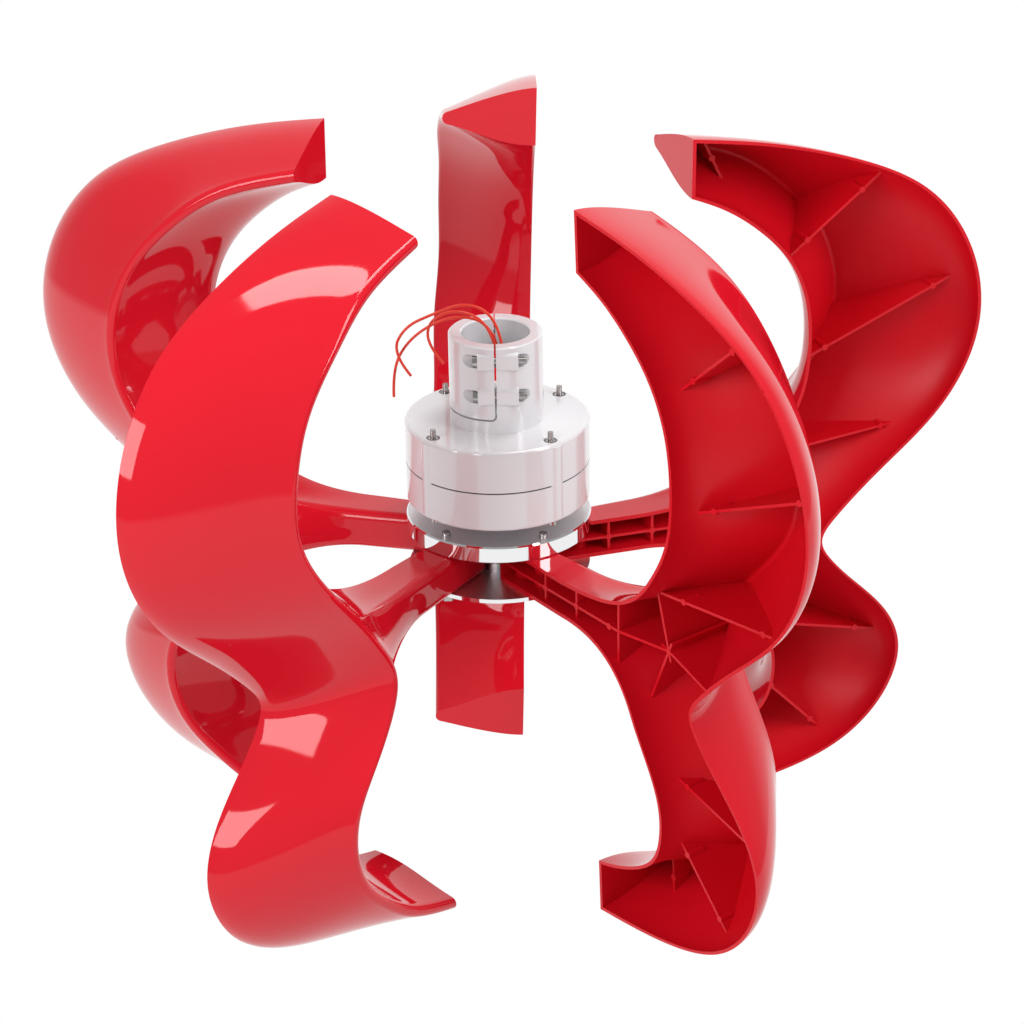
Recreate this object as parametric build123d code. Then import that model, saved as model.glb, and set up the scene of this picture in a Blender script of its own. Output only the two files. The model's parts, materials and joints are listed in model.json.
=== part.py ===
"""Small five-blade lantern wind turbine: permanent-magnet generator, mast clamp and moulded blades.

Millimetres.  The origin is on the turbine's axis at the bottom of the mast socket, which is also
the generator's rear face.  +Z runs up the mast socket, so the hub and its blades hang below.
"""
from build123d import *
from math import cos, pi, radians, sin, tan
import os

# ---------------------------------------------------------------- driving dimensions
SLACK = 0.05                # radial room of every bolt, shaft and ring in its hole

# mast socket
MAST_R = 24.3               # takes a 48.3 mm pipe
TUBE_R = 33.7
TUBE_TOP = 65.6
COLLAR_TOP = 9.6            # the clamp half starts above this
CLAMP_SLIT = 1.4
CLAMP_CORNER_R = 4.0
CLAMP_BOLT_HEIGHTS = (27.6, 54.3)
CLAMP_BOLT_Y = 29.0
CLAMP_BOLT_R = 2.5
CLAMP_HEAD_X = -13.3        # head seat in the loose half
CLAMP_END_X = 15.7          # where the thread comes out of the fixed half
CLAMP_POCKET_R = 4.9
CLAMP_BAND = (13.6, 34.4)   # height of the flat band over each bolt, and how far out it stands
CLAMP_BAND_EDGE_R = 3.0

# generator castings
BODY_R = 66.4
WALL = 5.2
SEAM_Z = -31.5
SEAM_GAP = 1.1
BODY_BOTTOM = -60.8
PLATE = 6.0
EDGE_R = 2.4
EAR_R = 8.6
EAR_CIRCLE_R = 58.8
EAR_ANGLES = (39.3, 129.3, 219.3, 309.3)
PAD_IN_R = 63.5             # castings touch outside this, at the ears
NUT_RECESS_R = 4.9
NUT_RECESS_DEPTH = 3.4
BODY_BOLT_R = 2.0
BODY_BOLT_STANDS = 6.4      # thread above the rear face

# grommet and leads
GROMMET_AT = (5.5, -20.3)
GROMMET_R = 3.1
GROMMET_TOP = 1.0
WIRE_R = 1.0

# generator inside
STACK_TOP = -19.5           # lamination stack
STACK_BOTTOM = -43.5
STATOR_R = 56.0
YOKE_R = 48.0
GAP_R = 35.0
TEETH = 12
TOOTH_W = 8.0
COIL_T = 4.5
MAGNET_R = 34.3
MAGNET_IN_R = 29.8
MAGNETS = 10
CORE_WEB_R = 14.0

# bearings, 15 x 35 x 11
BEARING_R = 17.5
BEARING_BORE_R = 7.5
BEARING_W = 11.0
BALLS = 8
BALL_R = 2.976
BALL_CIRCLE_R = 12.5
CAGE_H = 7.4
REAR_BEARING_TOP = -8.0
FRONT_BEARING_TOP = -46.0
REAR_BOSS_R = 24.4
FRONT_BOSS_R = 23.2
SEAL_R = 13.0

# shaft
SHAFT_TOP = -7.4
SHAFT_MID_R = 10.0
THREAD_R = 6.0
KEY = (5.0, 5.0, 20.0)

# hub
DISC_R = 67.1
DISC_TOP = -73.0
DISC_T = 12.6
ARM_H = 29.0
LOWER_DISC_R = 66.0
LOWER_DISC_T = 3.0
HUB_BOSS_R = 21.0
HUB_BOSS_TOP = -63.4
SPACER_R = 19.0
ARM_BOLT_R = 3.0
ARM_BOLT_RADII = (36.0, 58.5)
ARM_BOLT_T = -6.0
ARM_BOLT_TOPS = (-76.6, -69.8)     # inner ones end inside the flange, outer ones stand above it
ARM_WASHER_T = 1.2
SHAFT_WASHER_T = 2.5
SHAFT_NUT_H = 14.0

# blades: out is measured from the turbine's axis, up from the arm's centre line
BLADES = 5
BLADE_ANGLE = 19.7          # first blade, anticlockwise from +X seen from above
SKIN = 2.6
RIDGE_R = 5.0
RIB = 2.0
ARM_ROOT = 26.0
ARM_BOSS_R = 6.2
ARM_FLANGE = 3.0
ARM_LEAD = 7.0              # arm's smooth face, ahead of the radius, where the flare starts
ARM_ROOT_LEAD = 4.5
ARM_ROOT_TRAIL = -20.0
# (out, up) of the outer wall's rim and of the inner wall's rim, then (out, lead, up) of the ridge
STATIONS = (
    ((134.6, 301), (134.6, 257), (134.6, 32, 280)),
    ((198, 290), (162, 244), (191, 33, 264)),
    ((264, 270), (189, 224), (230, 35, 238)),
    ((319, 240), (211, 199), (260, 34, 205)),
    ((356, 188), (225, 165), (277.5, 35, 164)),
    ((364, 125), (228, 125), (277, 36, 118)),
    ((338, 67), (222, 89), (255, 41, 77)),
    ((291, 21), (204, 56), (224, 42.5, 41)),
    ((256, -14), (181, 25), (205, 45.5, 12)),
    ((246.5, -32), (167, 0), (199, 48.5, -4)),
    ((256, -50), (169, -28), (200.5, 50.5, -19)),
    ((274.5, -70), (179, -58), (211, 50.5, -42)),
    ((300.5, -98), (192, -83), (228.5, 49.5, -68)),
    ((315, -135), (206, -112), (243, 47.5, -95)),
    ((303.5, -176), (209, -140), (245.5, 46.5, -127)),
    ((273, -208), (201, -165), (233.5, 47, -158)),
    ((232, -226), (181, -182), (210, 47.5, -183)),
    ((188.5, -235), (159.5, -192), (183, 48.5, -203)),
    ((137.5, -241), (137.5, -199), (137.5, 50, -221)),
)
# (out, lead, up) of both ends of each rib's edge in the hollow side
ARM_JUNCTION = (200.5, -11, -6)
RIBS = (
    ((161, 2, 283), (178, 2.5, 247)),
    ((219, -19, 195.5), (288, -25, 253)),
    ((237, -16, 113.5), (352, -22.5, 164.5)),
    ((197, -12.5, 37), (313.5, -17, 50)),
    (ARM_JUNCTION, (191, -12, 32)),
    (ARM_JUNCTION, (260, -13, -26)),
    (ARM_JUNCTION, (179.5, -9, -52.5)),
    ((207.5, -8, -103.5), (302, -11, -126)),
    ((211.5, -7.5, -154.5), (259, -7.5, -204.5)),
    ((175, 17, -195), (175.5, 18, -226.5)),
)
ARM_RIB_EDGE = -20.0        # arm ribs' edges, behind the radius
ARM_CROSS_RIBS = (78.0, 112.5, 158.0)
ARM_MIDDLE_RIB = ((27, ARM_RIB_EDGE, 0), (158, ARM_RIB_EDGE, -4.5))

ARM_Z = DISC_TOP - DISC_T - ARM_H / 2
ARM_TOP = ARM_Z + ARM_H / 2
ARM_BOTTOM = ARM_Z - ARM_H / 2
LOWER_BOTTOM = ARM_BOTTOM - LOWER_DISC_T
INNER_R = BODY_R - WALL

# routes of the three loose leads, from the grommet to their bare ends
WIRE_ROUTES = (
    ((6.6, -20.9, GROMMET_TOP), (6.6, -20.9, 28), (5.8, -20.4, 60), (-2, -16.5, 85),
     (-21, -11.5, 92), (-43, -9, 83), (-64, -9, 73.5), (-73.5, -9.5, 54), (-60.5, -9, 36)),
    ((4.4, -20.9, GROMMET_TOP), (4.4, -20.9, 28), (1.4, -21.6, 60), (-9, -21, 84),
     (-30, -20.5, 90.5), (-47, -19, 81), (-48, -18.5, 63), (-36.8, -18, 48.5)),
    ((5.5, -19, GROMMET_TOP), (5.5, -19, 28), (2.8, -17.6, 58), (-6, -14.5, 77),
     (-22, -9, 81), (-42, -5, 75.5), (-62, -4, 61), (-73.5, -4, 40), (-73.3, -4, 18)),
)


# ---------------------------------------------------------------- helpers
def rod(radius, low, high, x=0.0, y=0.0):
    """Upright solid cylinder between two heights."""
    return Pos(x, y, (low + high) / 2) * Cylinder(radius, high - low)


def ring(outer, inner, low, high, x=0.0, y=0.0):
    """Upright tube between two heights."""
    return rod(outer, low, high, x, y) - rod(inner, low - 1, high + 1, x, y)


def rod_x(radius, start, end, y, z):
    """Solid cylinder along X."""
    return Pos((start + end) / 2, y, z) * Rot(0, 90, 0) * Cylinder(radius, end - start)


def block(x, y, z):
    """Box from three (low, high) pairs."""
    centre = Pos((x[0] + x[1]) / 2, (y[0] + y[1]) / 2, (z[0] + z[1]) / 2)
    return centre * Box(x[1] - x[0], y[1] - y[0], z[1] - z[0])


def hexagon(across_flats, low, high, x=0.0, y=0.0):
    """Upright hexagonal prism between two heights."""
    face = RegularPolygon(across_flats / 2, 6, major_radius=False)
    return Pos(x, y, low) * extrude(face, high - low)


def polar(radius, angle):
    """Point on a circle about the turbine's axis."""
    return radius * cos(radians(angle)), radius * sin(radians(angle))


def save(name, *shapes):
    """Write a node's solids to its own STEP file."""
    solids = [solid for shape in shapes for solid in shape.solids()]
    os.makedirs("parts", exist_ok=True)
    export_step(solids[0] if len(solids) == 1 else Compound(children=solids), f"parts/{name}.step")


# ---------------------------------------------------------------- generator castings
def mast_tube():
    """Whole mast socket with its flat bolt bands, before it is split."""
    tube = ring(TUBE_R, MAST_R, -0.5, TUBE_TOP)
    tube = chamfer(tube.edges().group_by(Axis.Z)[-1], 1.0)
    band_height, band_out = CLAMP_BAND
    for z in CLAMP_BOLT_HEIGHTS:
        for side in (-1, 1):
            out = sorted((side * CLAMP_BOLT_Y, side * band_out))
            band = block((CLAMP_HEAD_X, CLAMP_END_X), out, (z - band_height / 2, z + band_height / 2))
            long_edges = band.edges().filter_by(Axis.X).sort_by(Axis.Y)
            tube += fillet(long_edges[:2] if side < 0 else long_edges[2:], CLAMP_BAND_EDGE_R)
    return tube


def clamp_pockets():
    """Scoops at both ends of each clamp screw."""
    pockets = Part()
    for z in CLAMP_BOLT_HEIGHTS:
        for side in (-1, 1):
            y = side * CLAMP_BOLT_Y
            pockets += rod_x(CLAMP_POCKET_R, -TUBE_R, CLAMP_HEAD_X, y, z)
            pockets += rod_x(CLAMP_POCKET_R, CLAMP_END_X, TUBE_R, y, z)
            pockets += rod_x(CLAMP_BOLT_R + SLACK, -TUBE_R, TUBE_R, y, z)
    return pockets


def clamp_space(gap):
    """Space of the loose half, short of the split by a gap on every side."""
    reach = TUBE_R + 10
    space = block((-reach, -gap), (-reach, reach), (COLLAR_TOP + gap, TUBE_TOP + 10))
    corner = space.edges().filter_by(Axis.Y).sort_by(Axis.Z)[:2].sort_by(Axis.X)[-1]
    return fillet(corner, CLAMP_CORNER_R - gap)


def seam_pads():
    """Outer parts of the ears, where the two castings touch across the seam."""
    low, high = SEAM_Z - SEAM_GAP / 2, SEAM_Z + SEAM_GAP / 2
    return ears(low, high + 1) - rod(PAD_IN_R, low - 1, high + 2)


def ears(low, high):
    """Four bolt ears on a casting."""
    found = Part()
    for angle in EAR_ANGLES:
        found += rod(EAR_R, low, high, *polar(EAR_CIRCLE_R, angle))
    return found


def bolt_holes(radius, low, high):
    """Four housing bolt holes."""
    holes = Part()
    for angle in EAR_ANGLES:
        holes += rod(radius, low, high, *polar(EAR_CIRCLE_R, angle))
    return holes


def casting(low, high, plate_at_top):
    """Open can with ears inside and out; its closed end is at the top or the bottom."""
    can = rod(BODY_R, low, high)
    can = fillet(can.edges().filter_by(GeomType.CIRCLE).group_by(Axis.Z)[-1 if plate_at_top else 0], EDGE_R)
    if plate_at_top:
        can += ears(low, high - EDGE_R)
        return can - (rod(INNER_R, low - 1, high - PLATE) - ears(low - 1, high))
    can += ears(low + EDGE_R, high)
    return can - (rod(INNER_R, low + PLATE, high + 1) - ears(low, high + 1))


def rear_cover():
    """Rear casting, with the mast collar and the fixed half of the clamp."""
    seam = SEAM_Z + SEAM_GAP / 2
    cover = casting(seam, 0.0, True) + seam_pads()
    cover += rod(REAR_BOSS_R, REAR_BEARING_TOP - BEARING_W, -PLATE + 1)
    cover += mast_tube() - clamp_space(0)
    cover -= rod(BEARING_R, REAR_BEARING_TOP - BEARING_W - 1, REAR_BEARING_TOP)
    cover -= rod(SHAFT_MID_R, REAR_BEARING_TOP - 2, REAR_BEARING_TOP + 2)
    cover -= rod(GROMMET_R, REAR_BEARING_TOP - BEARING_W - 1, 1, *GROMMET_AT)
    cover -= stator_seat()
    cover -= clamp_pockets()
    cover -= bolt_holes(BODY_BOLT_R + SLACK, seam - 1, 1)
    return cover - bolt_holes(NUT_RECESS_R, -NUT_RECESS_DEPTH, 1)


def stator_seat():
    """Round seat that the lamination stack sits in, cut through the ears."""
    room = COIL_T + 2
    return rod(STATOR_R, STACK_BOTTOM - room, STACK_TOP + room)


def clamp_half():
    """Loose half of the mast clamp."""
    return (mast_tube() & clamp_space(CLAMP_SLIT)) - clamp_pockets()


def clamp_screws():
    """Four socket-head screws across the clamp's split."""
    head_r, head_h, length, socket_flats = 4.25, 3.4, 34.6, 4.0
    screws = []
    for z in CLAMP_BOLT_HEIGHTS:
        for y in (-CLAMP_BOLT_Y, CLAMP_BOLT_Y):
            screw = rod_x(head_r, CLAMP_HEAD_X - head_h, CLAMP_HEAD_X, y, z)
            screw += rod_x(CLAMP_BOLT_R, CLAMP_HEAD_X, CLAMP_HEAD_X + length, y, z)
            socket = hexagon(socket_flats, 0, head_h / 2)
            screws.append(screw - Pos(CLAMP_HEAD_X - head_h, y, z) * Rot(0, 90, 0) * socket)
    return screws


def front_housing():
    """Front casting, with the front bearing's seat and the seal's seat."""
    seam = SEAM_Z - SEAM_GAP / 2
    housing = casting(BODY_BOTTOM, seam, False)
    housing += rod(FRONT_BOSS_R, BODY_BOTTOM + 1, FRONT_BEARING_TOP)
    housing -= rod(BEARING_R, FRONT_BEARING_TOP - BEARING_W, FRONT_BEARING_TOP + 1)
    housing -= rod(SEAL_R, BODY_BOTTOM - 1, FRONT_BEARING_TOP)
    housing -= stator_seat()
    housing -= bolt_holes(BODY_BOLT_R + SLACK, BODY_BOTTOM - 1, 0)
    return housing


def housing_gasket():
    """Black seal ring in the seam, inside the pads and outside the bolts."""
    return ring(PAD_IN_R - 0.2, INNER_R + 0.1, SEAM_Z - SEAM_GAP / 2, SEAM_Z + SEAM_GAP / 2)


def housing_bolts():
    """Four long socket-head bolts, up through both castings."""
    head_r, head_h, socket_flats = 3.5, 4.0, 3.0
    bolts = []
    for angle in EAR_ANGLES:
        x, y = polar(EAR_CIRCLE_R, angle)
        bolt = rod(head_r, BODY_BOTTOM - head_h, BODY_BOTTOM, x, y)
        bolt += rod(BODY_BOLT_R, BODY_BOTTOM, BODY_BOLT_STANDS, x, y)
        bolts.append(bolt - hexagon(socket_flats, BODY_BOTTOM - head_h - 1, BODY_BOTTOM - 2, x, y))
    return bolts


def housing_nuts():
    """Four nuts, sunk in the rear cover's round recesses."""
    nuts, flats = [], 7.0
    for angle in EAR_ANGLES:
        x, y = polar(EAR_CIRCLE_R, angle)
        nut = hexagon(flats, -NUT_RECESS_DEPTH, -0.2, x, y)
        nuts.append(nut - rod(BODY_BOLT_R + SLACK, -NUT_RECESS_DEPTH - 1, 1, x, y))
    return nuts


def cable_grommet():
    """Rubber plug in the socket's floor that the leads come through."""
    return rod(GROMMET_R, REAR_BEARING_TOP, GROMMET_TOP, *GROMMET_AT)


# ---------------------------------------------------------------- generator inside
def stator_core():
    """Lamination stack: a yoke with inward teeth and pole shoes."""
    height = STACK_TOP - STACK_BOTTOM
    middle = (STACK_TOP + STACK_BOTTOM) / 2
    core = ring(STATOR_R, YOKE_R, STACK_BOTTOM, STACK_TOP)
    shoes = ring(GAP_R + 2.4, GAP_R, STACK_BOTTOM, STACK_TOP)
    for index in range(TEETH):
        angle = 360 / TEETH * index
        tooth = Pos((YOKE_R + GAP_R + 2) / 2, 0, middle) * Box(YOKE_R - GAP_R, TOOTH_W, height)
        core += Rot(0, 0, angle) * tooth
        slot = Pos(GAP_R + 1, 0, middle) * Box(6, 3, height + 1)
        shoes -= Rot(0, 0, angle + 180 / TEETH) * slot
    return core + shoes


def stator_coils():
    """One coil round each tooth."""
    height = STACK_TOP - STACK_BOTTOM
    middle = (STACK_TOP + STACK_BOTTOM) / 2
    low_r, high_r = GAP_R + 3.0, YOKE_R - 1.0
    coils = []
    for index in range(TEETH):
        width, tall = TOOTH_W + 0.2, height + 0.2
        coil = Box(high_r - low_r, width + 2 * COIL_T, tall + 2 * COIL_T)
        coil = fillet(coil.edges().filter_by(Axis.X), COIL_T - 0.5)
        coil -= Box(high_r, width, tall)
        spread = 2 * pi * low_r / TEETH
        wedge = Pos((high_r - low_r) / 2, 0, 0) * Box(high_r - low_r + 1, spread * 1.18, 99)
        wedge += Box(high_r - low_r + 1, spread - 0.6, 99)
        coil = Pos((low_r + high_r) / 2, 0, middle) * (coil & wedge)
        coils.append(Rot(0, 0, 360 / TEETH * index) * coil)
    return coils


def rotor_core():
    """Wheel that carries the magnets, keyed to the shaft."""
    core = ring(MAGNET_IN_R, SHAFT_MID_R, STACK_BOTTOM, STACK_TOP)
    core -= ring(MAGNET_IN_R - 5, CORE_WEB_R, STACK_BOTTOM - 1, STACK_BOTTOM + 7)
    core -= ring(MAGNET_IN_R - 5, CORE_WEB_R, STACK_TOP - 7, STACK_TOP + 1)
    return core - key_space(SLACK)


def key_space(gap):
    """Key's own shape, grown by a gap."""
    width, height, length = KEY
    middle = (STACK_TOP + STACK_BOTTOM) / 2
    return Pos(SHAFT_MID_R, 0, middle) * Box(height + 2 * gap, width + 2 * gap, length + 2 * gap)


def rotor_magnets():
    """Arc magnets round the rotor core."""
    whole = ring(MAGNET_R, MAGNET_IN_R, STACK_BOTTOM, STACK_TOP)
    half_gap = 1.0
    magnets = []
    pitch = 360 / MAGNETS
    for index in range(MAGNETS):
        sector = Rot(0, 0, pitch * index) * extrude(sector_face(pitch, half_gap), 60)
        magnets.append(whole & Pos(0, 0, -60) * sector)
    return magnets


def sector_face(pitch, half_gap):
    """Flat wedge between two radii, short of its neighbours by a gap."""
    reach = MAGNET_R + 10
    half = radians(pitch / 2)
    start = half_gap / sin(half)
    far_x, far_y = start + reach * cos(half), reach * sin(half)
    return make_face(Polyline((start, 0), (far_x, -far_y), (far_x, far_y), (start, 0)))


def shaft():
    """Stepped shaft, with a bearing seat at each end of its middle and a thread below the hub."""
    steps = (
        (BEARING_BORE_R - SLACK, REAR_BEARING_TOP - BEARING_W, SHAFT_TOP),
        (SHAFT_MID_R, FRONT_BEARING_TOP, REAR_BEARING_TOP - BEARING_W),
        (BEARING_BORE_R - SLACK, LOWER_BOTTOM + 1, FRONT_BEARING_TOP),
        (THREAD_R, LOWER_BOTTOM - SHAFT_NUT_H - 5, LOWER_BOTTOM + 1),
    )
    body = Part()
    for radius, low, high in steps:
        body += rod(radius, low, high)
    body = chamfer(body.edges().group_by(Axis.Z)[0], 1.0)
    return body - key_space(0)


def bearing(top):
    """Deep-groove ball bearing: outer ring, inner ring, balls and cage."""
    low, middle = top - BEARING_W, top - BEARING_W / 2
    shoulder, cage_half = 1.9, 0.9
    groove = Pos(0, 0, middle) * Torus(BALL_CIRCLE_R, BALL_R + SLACK)
    outer = ring(BEARING_R, BALL_CIRCLE_R + shoulder, low, top) - groove
    inner = ring(BALL_CIRCLE_R - shoulder, BEARING_BORE_R, low, top) - groove
    cage = ring(BALL_CIRCLE_R + cage_half, BALL_CIRCLE_R - cage_half,
                middle - CAGE_H / 2, middle + CAGE_H / 2)
    balls = []
    for index in range(BALLS):
        turn = Rot(0, 0, 360 / BALLS * index)
        balls.append(turn * Pos(BALL_CIRCLE_R, 0, middle) * Sphere(BALL_R))
        cage -= turn * rod_x(BALL_R + SLACK, BALL_CIRCLE_R - 2, BALL_CIRCLE_R + 2, 0, middle)
    return outer, inner, balls, cage


def shaft_seal():
    """Lip seal round the shaft where it leaves the front housing."""
    seal = ring(SEAL_R, SHAFT_MID_R + 0.6, BODY_BOTTOM + 0.3, FRONT_BEARING_TOP - BEARING_W)
    lip = ring(SHAFT_MID_R + 0.7, BEARING_BORE_R + SLACK, BODY_BOTTOM + 1.2, BODY_BOTTOM + 2.2)
    return seal + lip


# ---------------------------------------------------------------- hub
def arm_bolt_places():
    """(x, y) of the two bolts through each arm, with the height of each one's end."""
    places = []
    for index in range(BLADES):
        turn = radians(BLADE_ANGLE + 360 / BLADES * index)
        for radius, top in zip(ARM_BOLT_RADII, ARM_BOLT_TOPS):
            x = radius * cos(turn) - ARM_BOLT_T * sin(turn)
            y = radius * sin(turn) + ARM_BOLT_T * cos(turn)
            places.append(((x, y), top))
    return places


def hub_flange():
    """Polished upper disc, with its boss on the shaft and tapped holes from below."""
    disc = chamfer(rod(DISC_R, ARM_TOP, DISC_TOP).edges().filter_by(GeomType.CIRCLE), 1.0)
    disc += rod(HUB_BOSS_R, DISC_TOP - 1, HUB_BOSS_TOP)
    disc -= rod(BEARING_BORE_R, ARM_TOP - 1, HUB_BOSS_TOP + 1)
    for place, top in arm_bolt_places():
        disc -= rod(ARM_BOLT_R + SLACK, ARM_TOP - 1, top + 1, *place)
    return disc


def hub_spacer():
    """Tube that keeps the two discs apart at the shaft."""
    return ring(SPACER_R, BEARING_BORE_R, ARM_BOTTOM, ARM_TOP)


def hub_lower_disc():
    """Thin polished disc that clamps the arms from below."""
    disc = ring(LOWER_DISC_R, BEARING_BORE_R, LOWER_BOTTOM, ARM_BOTTOM)
    for place, _ in arm_bolt_places():
        disc -= rod(ARM_BOLT_R + SLACK, LOWER_BOTTOM - 1, ARM_BOTTOM + 1, *place)
    return disc


def arm_bolts():
    """Ten hexagon bolts, up through the lower disc and the arms into the flange."""
    flats, head_h = 10.0, 4.3
    seat = LOWER_BOTTOM - ARM_WASHER_T
    bolts = []
    for place, top in arm_bolt_places():
        bolt = hexagon(flats, seat - head_h, seat, *place)
        bolts.append(bolt + rod(ARM_BOLT_R, seat - 1, top, *place))
    return bolts


def arm_washers():
    """Ten flat washers under the arm bolts' heads."""
    return [ring(6.0, ARM_BOLT_R + SLACK, LOWER_BOTTOM - ARM_WASHER_T, LOWER_BOTTOM, *place)
            for place, _ in arm_bolt_places()]


def shaft_washer():
    """Wide washer under the shaft nut."""
    return ring(14.0, THREAD_R + SLACK, LOWER_BOTTOM - SHAFT_WASHER_T, LOWER_BOTTOM)


def shaft_nut():
    """Locking nut on the shaft's end."""
    high = LOWER_BOTTOM - SHAFT_WASHER_T
    low, flats, collar_r, collar_h = high - SHAFT_NUT_H, 19.0, 8.6, 4.0
    nut = hexagon(flats, low + collar_h, high) + rod(collar_r, low, low + collar_h + 1)
    return nut - rod(THREAD_R + SLACK, low - 1, high + 1)


# ---------------------------------------------------------------- blades
def trailing(out, up):
    """How far the open side lies behind the blade's radius at a point of it."""
    return -22.6 - 0.0386 * out - 0.033 * up


def section(station, inset=0.0, beyond=0.0):
    """Closed wire of one blade section: outer wall, rounded ridge, inner wall, open side."""
    outer_rim, inner_rim, ridge_at = station
    outer = Vector(outer_rim[0], trailing(*outer_rim), outer_rim[1])
    inner = Vector(inner_rim[0], trailing(*inner_rim), inner_rim[1])
    ridge = Vector(*ridge_at)
    across = (inner - outer).normalized()
    forward = (ridge - (outer + inner) * 0.5).normalized()
    side = (across - forward * across.dot(forward)).normalized()
    ahead = Vector(0, 1, 0)
    outer += across * inset
    inner -= across * inset
    ridge -= forward * (1.6 * inset)
    nose = RIDGE_R - 0.8 * inset
    nose_outer = ridge - forward * nose - side * nose
    nose_inner = ridge - forward * nose + side * nose
    to_outer, to_inner = nose_outer - outer, nose_inner - inner
    outer_end, inner_end = outer - ahead * beyond, inner - ahead * beyond
    outer_wall = Edge.make_bezier(outer_end, outer + ahead * (0.32 * to_outer.Y),
                                  outer + to_outer * 0.90, nose_outer)
    nose_arc = Edge.make_three_point_arc(nose_outer, ridge, nose_inner)
    inner_wall = Edge.make_bezier(nose_inner, inner + to_inner * 0.62,
                                  inner + ahead * (0.40 * to_inner.Y), inner_end)
    return Wire([outer_wall, nose_arc, inner_wall, Edge.make_line(inner_end, outer_end)])


def end_station(end, following, cap):
    """Blade tip's station, moved in by the end wall's thickness."""
    out = end[0][0] + cap
    moved = []
    for place, onward in zip(end, following):
        share = (out - place[0]) / (onward[0] - place[0])
        moved.append(tuple(a + (b - a) * share for a, b in zip(place, onward)))
    return tuple(moved)


def blade_volume(inset, beyond=0.0):
    """Whole blade as a solid, its skin moved in by inset and its open side out by beyond."""
    stations = [end_station(STATIONS[0], STATIONS[1], inset), *STATIONS[1:-1],
                end_station(STATIONS[-1], STATIONS[-2], inset)]
    return Part() + Solid.make_loft([section(station, inset, beyond) for station in stations])


def arm_volume(inset, root, reach, beyond=0.0):
    """Arm as a solid: its side outline and its plan outline, each moved in by inset."""
    top = ARM_H / 2 - inset
    straight = 100.0
    side_outline = [
        Line((root, -top), (root, top)),
        Line((root, top), (straight, top)),
        Spline((straight, top), (140, top + 2), (166, top + 7), (reach, 54 - inset),
               tangents=[(1, 0), (0.5, 1)]),
        Line((reach, 54 - inset), (reach, -66 + inset)),
        Spline((reach, -66 + inset), (157, -top - 20), (139, -top - 6), (straight, -top),
               tangents=[(-0.5, 1), (-1, 0)]),
        Line((straight, -top), (root, -top)),
    ]
    side = extrude(Plane.XZ * make_face(side_outline), 90, both=True)
    lead, root_lead = ARM_LEAD - inset, ARM_ROOT_LEAD - inset
    root_trail, reach_trail = ARM_ROOT_TRAIL - beyond, trailing(reach, 0) - beyond
    plan_outline = [
        Line((root, root_trail), (root, root_lead)),
        Line((root, root_lead), (straight, lead)),
        Spline((straight, lead), (150, lead + 13), (reach, 46 - 2 * inset),
               tangents=[(straight - root, lead - root_lead), (1, 0.8)]),
        Line((reach, 46 - 2 * inset), (reach, reach_trail)),
        Line((reach, reach_trail), (root, root_trail)),
    ]
    plan = extrude(Plane.XY * make_face(plan_outline), 120, both=True)
    shoulder = 54 - 1.5 * inset
    front_outline = Polyline(
        (-60, 100), (-60, -100), (0, -shoulder - 12), (28, -38 + inset), (48, -24 + inset),
        (48, 10 - inset), (28, 24 - inset), (0, shoulder), (-60, 100))
    front = extrude(Plane.YZ * make_face(front_outline), 300)
    return side & plan & front


def rib_plate(start, end, reach=8.0):
    """Flat plate across the blade, whose edge runs a little past two (out, lead, up) points."""
    start, end = Vector(*start), Vector(*end)
    along = (end - start).normalized() * reach
    deep = Vector(0, 120, 0)
    low, high = start - along, end + along
    face = make_face(Polyline(low, high, high + deep, low + deep, low))
    return extrude(face, RIB / 2, both=True)


def blade():
    """One-piece moulding: hollow blade, channel arm and ribs, on the +X radius."""
    reach = 196.0
    body = blade_volume(0) + arm_volume(0, ARM_ROOT, reach)
    body -= blade_volume(SKIN, 4.0)
    body -= arm_volume(ARM_FLANGE, ARM_ROOT + ARM_FLANGE, reach, 4.0)
    ribs = Part()
    for start, end in RIBS:
        ribs += rib_plate(start, end)
    ribs &= blade_volume(SKIN / 2)
    arm_ribs = rib_plate(*ARM_MIDDLE_RIB, 0.5) + rib_plate(ARM_MIDDLE_RIB[1], ARM_JUNCTION, 0.5)
    for out in ARM_CROSS_RIBS:
        arm_ribs += block((out - RIB / 2, out + RIB / 2), (ARM_RIB_EDGE, 60), (-70, 60))
    for out in ARM_BOLT_RADII:
        arm_ribs += rod(ARM_BOSS_R, -20, 20, out, ARM_BOLT_T)
    arm_ribs &= arm_volume(ARM_FLANGE / 2, ARM_ROOT + 1, 225.0, -1.5)
    body += ribs
    body += arm_ribs & (arm_volume(0, ARM_ROOT, reach) + blade_volume(SKIN / 2))
    for out in ARM_BOLT_RADII:
        body -= rod(ARM_BOLT_R + SLACK, -20, 20, out, ARM_BOLT_T)
    return body


def place_blade(body, index):
    """Turn a blade to its place round the hub."""
    return Rot(0, 0, BLADE_ANGLE + 360 / BLADES * index) * Pos(0, 0, ARM_Z) * body


# ---------------------------------------------------------------- leads
def wire(name, route):
    """Round lead along straight runs joined by tangent arcs."""
    points = [Vector(*point) for point in route]
    radii = []
    for before, corner, after in zip(points, points[1:], points[2:]):
        turn = radians((corner - before).get_angle(after - corner))
        shorter = min((corner - before).length, (after - corner).length)
        radii.append(0.45 * shorter / tan(turn / 2))
    path = FilletPolyline(*points, radius=radii)
    start = Plane(origin=points[0], z_dir=points[1] - points[0])
    lead = sweep(start * Circle(WIRE_R), path=path)
    share = lead.volume / (pi * WIRE_R ** 2 * path.length)
    print(name, "length", round(path.length, 1), "least radius", round(min(radii), 1),
          "volume ratio", round(share, 4))
    return lead


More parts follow.
